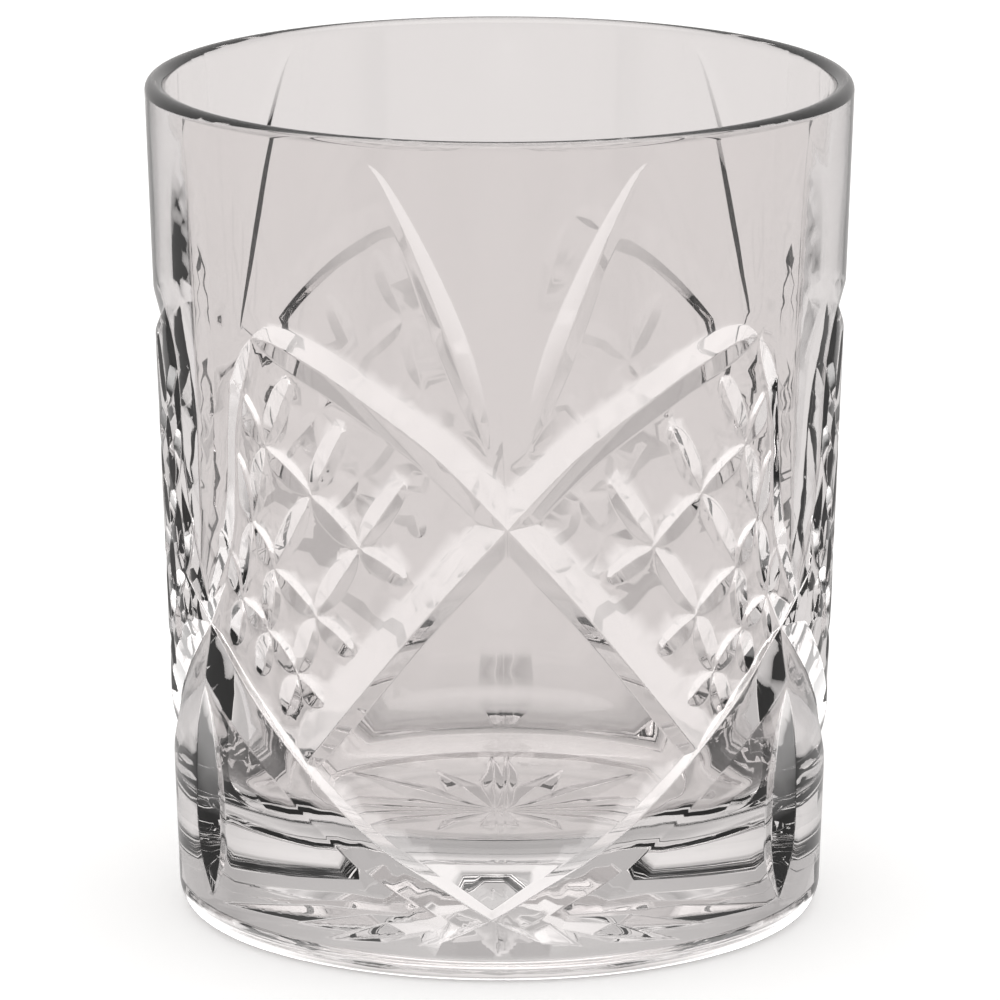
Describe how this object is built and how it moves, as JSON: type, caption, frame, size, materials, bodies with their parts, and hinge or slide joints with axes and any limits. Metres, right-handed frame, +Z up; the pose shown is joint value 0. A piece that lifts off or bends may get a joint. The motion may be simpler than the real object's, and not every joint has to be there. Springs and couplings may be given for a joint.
{
  "type": "whiskey tumbler",
  "caption": "Heavy pressed-glass tumbler with a thick base, crossed sash cuts, swags, upright leaf cuts, a cross-cut lattice and a star under the foot.",
  "frame": {"origin": "middle of the foot, on the plane it stands on", "axes": "+Z up along the turning axis, out of the mouth; -Y towards the side where two sashes cross; +X to the right of someone who faces that side"},
  "size_m": [0.0838, 0.0838, 0.1],
  "materials": {
    "clear_glass": "clear, fire-polished, very slightly warm"
  },
  "bodies": {
    "root": {"tumbler_body": "clear_glass"}
  },
  "joints": []
}
